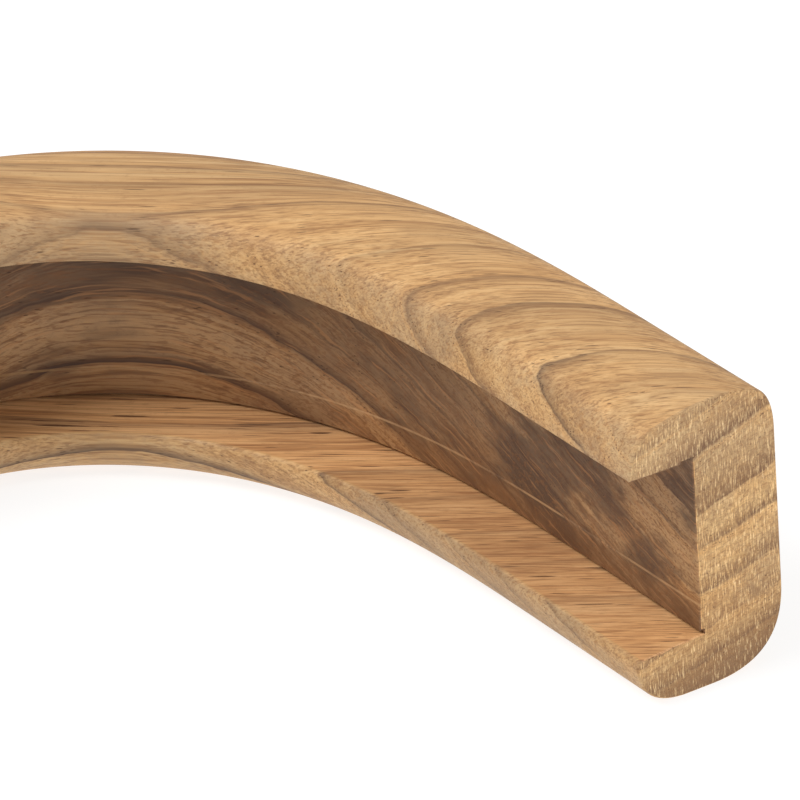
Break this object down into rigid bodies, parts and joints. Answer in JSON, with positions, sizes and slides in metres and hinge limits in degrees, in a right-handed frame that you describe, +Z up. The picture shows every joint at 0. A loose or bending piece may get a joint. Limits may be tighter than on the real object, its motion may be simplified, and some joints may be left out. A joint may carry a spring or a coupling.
{
  "type": "grab rail",
  "caption": "U-shaped teak grab rail whose C-shaped channel caps a panel edge, with curved returns doweled to a straight grip and plugged screws.",
  "frame": {"origin": "middle of the rail's footprint at its underside", "axes": "+X along the grip rail, +Y from the mouth of the U to the grip rail, +Z up"},
  "size_m": [0.2866, 0.097, 0.031],
  "materials": {
    "teak": "bare sanded teak with darker streaks",
    "teak_plug": "bare sanded teak, grain across",
    "dowel_beech": "plain beech dowel",
    "stainless": "bright stainless screw"
  },
  "bodies": {
    "root": {"grip_rail": "teak", "return_left": "teak", "return_right": "teak", "dowel_left_lower": "dowel_beech", "dowel_left_upper": "dowel_beech", "dowel_right_lower": "dowel_beech", "dowel_right_upper": "dowel_beech", "screw_left": "stainless", "plug_left": "teak_plug", "screw_middle": "stainless", "plug_middle": "teak_plug", "screw_right": "stainless", "plug_right": "teak_plug"}
  },
  "joints": []
}
